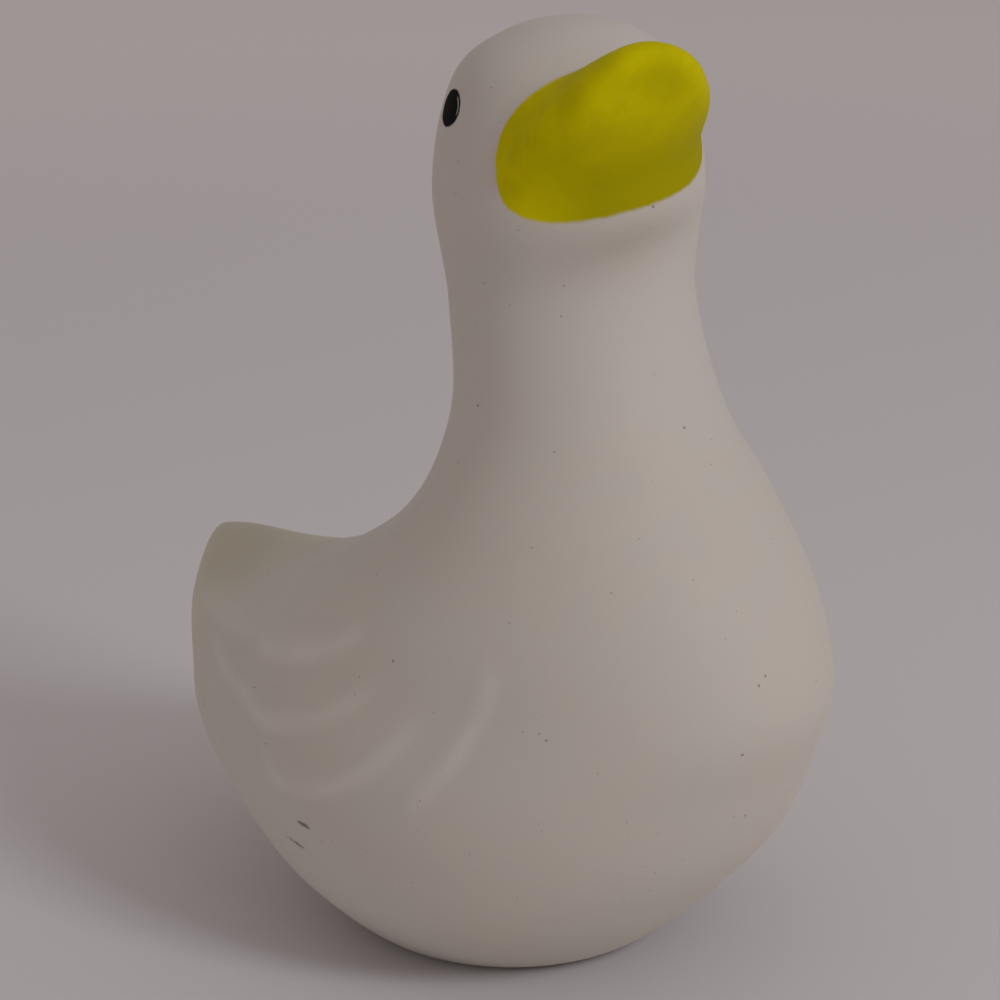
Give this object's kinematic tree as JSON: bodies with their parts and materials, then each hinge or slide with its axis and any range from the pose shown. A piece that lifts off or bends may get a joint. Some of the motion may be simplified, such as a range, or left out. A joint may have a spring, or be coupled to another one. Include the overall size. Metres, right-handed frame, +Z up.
{
  "type": "duck figurine",
  "caption": "Hollow porcelain duck with a flat foot, a vent hole underneath, a long neck, shallow wing feathers and a painted upturned bill.",
  "frame": {"origin": "on the floor, under the middle of the overall length and width", "axes": "+Z up, -Y forward towards the breast and bill, +X to the duck's left"},
  "size_m": [0.0584, 0.0892, 0.1],
  "materials": {
    "porcelain": "matt, unglazed off-white"
  },
  "bodies": {
    "root": {"duck_figurine": "porcelain"}
  },
  "joints": []
}
